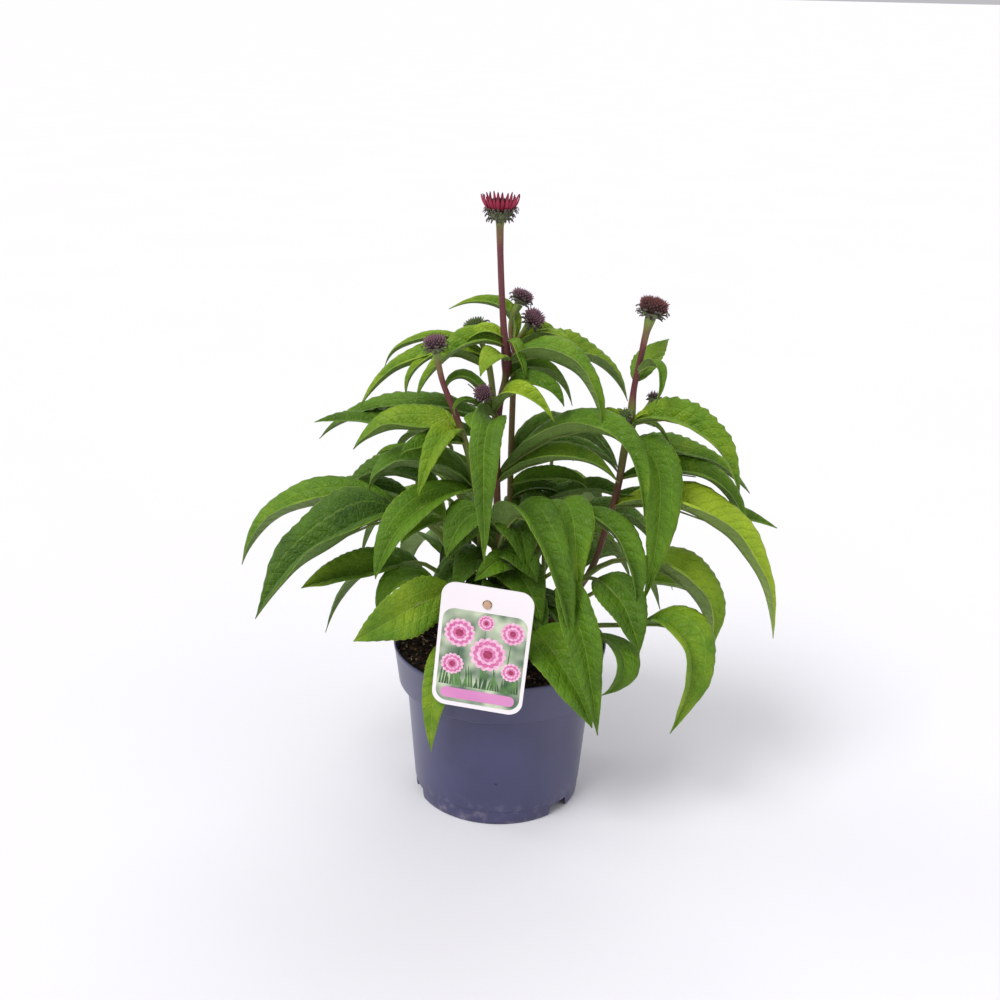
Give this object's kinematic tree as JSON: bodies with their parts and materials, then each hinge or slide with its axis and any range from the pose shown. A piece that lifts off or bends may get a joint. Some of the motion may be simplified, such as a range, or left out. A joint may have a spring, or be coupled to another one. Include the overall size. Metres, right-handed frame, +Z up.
{
  "type": "potted coneflower",
  "caption": "Purple coneflower with an opened flower, dark bristly buds and drooping leaves in a tapered plastic nursery pot with a picture label.",
  "frame": {"origin": "centre of the foot pad under the pot, on the surface the pot stands on", "axes": "+Z up along the pot and the stems, -Y towards the front, where the label hangs, +X to the right seen from the front"},
  "size_m": [0.4777, 0.2962, 0.5417],
  "materials": {
    "pot_plastic": "satin slate-violet plastic",
    "compost": "crumbly dark compost",
    "card": "printed white card",
    "stake": "beige plastic",
    "leaf": "rough green leaves, reddish stems",
    "bract": "grey-green bracts",
    "ray": "crimson rays round a dark disc",
    "bud_purple": "bristly purple-brown",
    "bud_green": "bristly green"
  },
  "bodies": {
    "root": {"pot": "pot_plastic", "soil": "compost", "label_card": "card", "label_stake": "stake", "leafy_stem_tall": "leaf", "leafy_stem_left": "leaf", "leafy_stem_forked": "leaf", "leafy_stem_back": "leaf", "leafy_stem_right": "leaf", "basal_leaves_left": "leaf", "basal_leaves_front": "leaf", "basal_leaves_right": "leaf", "basal_leaves_back_left": "leaf", "basal_leaves_back_right": "leaf", "bloom_bracts": "bract", "bloom_rays": "ray", "bud_left_stem": "bud_purple", "bud_side_shoot": "bud_purple", "bud_right_fork": "bud_purple", "bud_left_fork": "bud_purple", "bud_back_stem": "bud_green", "bud_right_stem": "bud_purple", "bud_green_shoot": "bud_green", "bud_small_shoot": "bud_purple"}
  },
  "joints": []
}
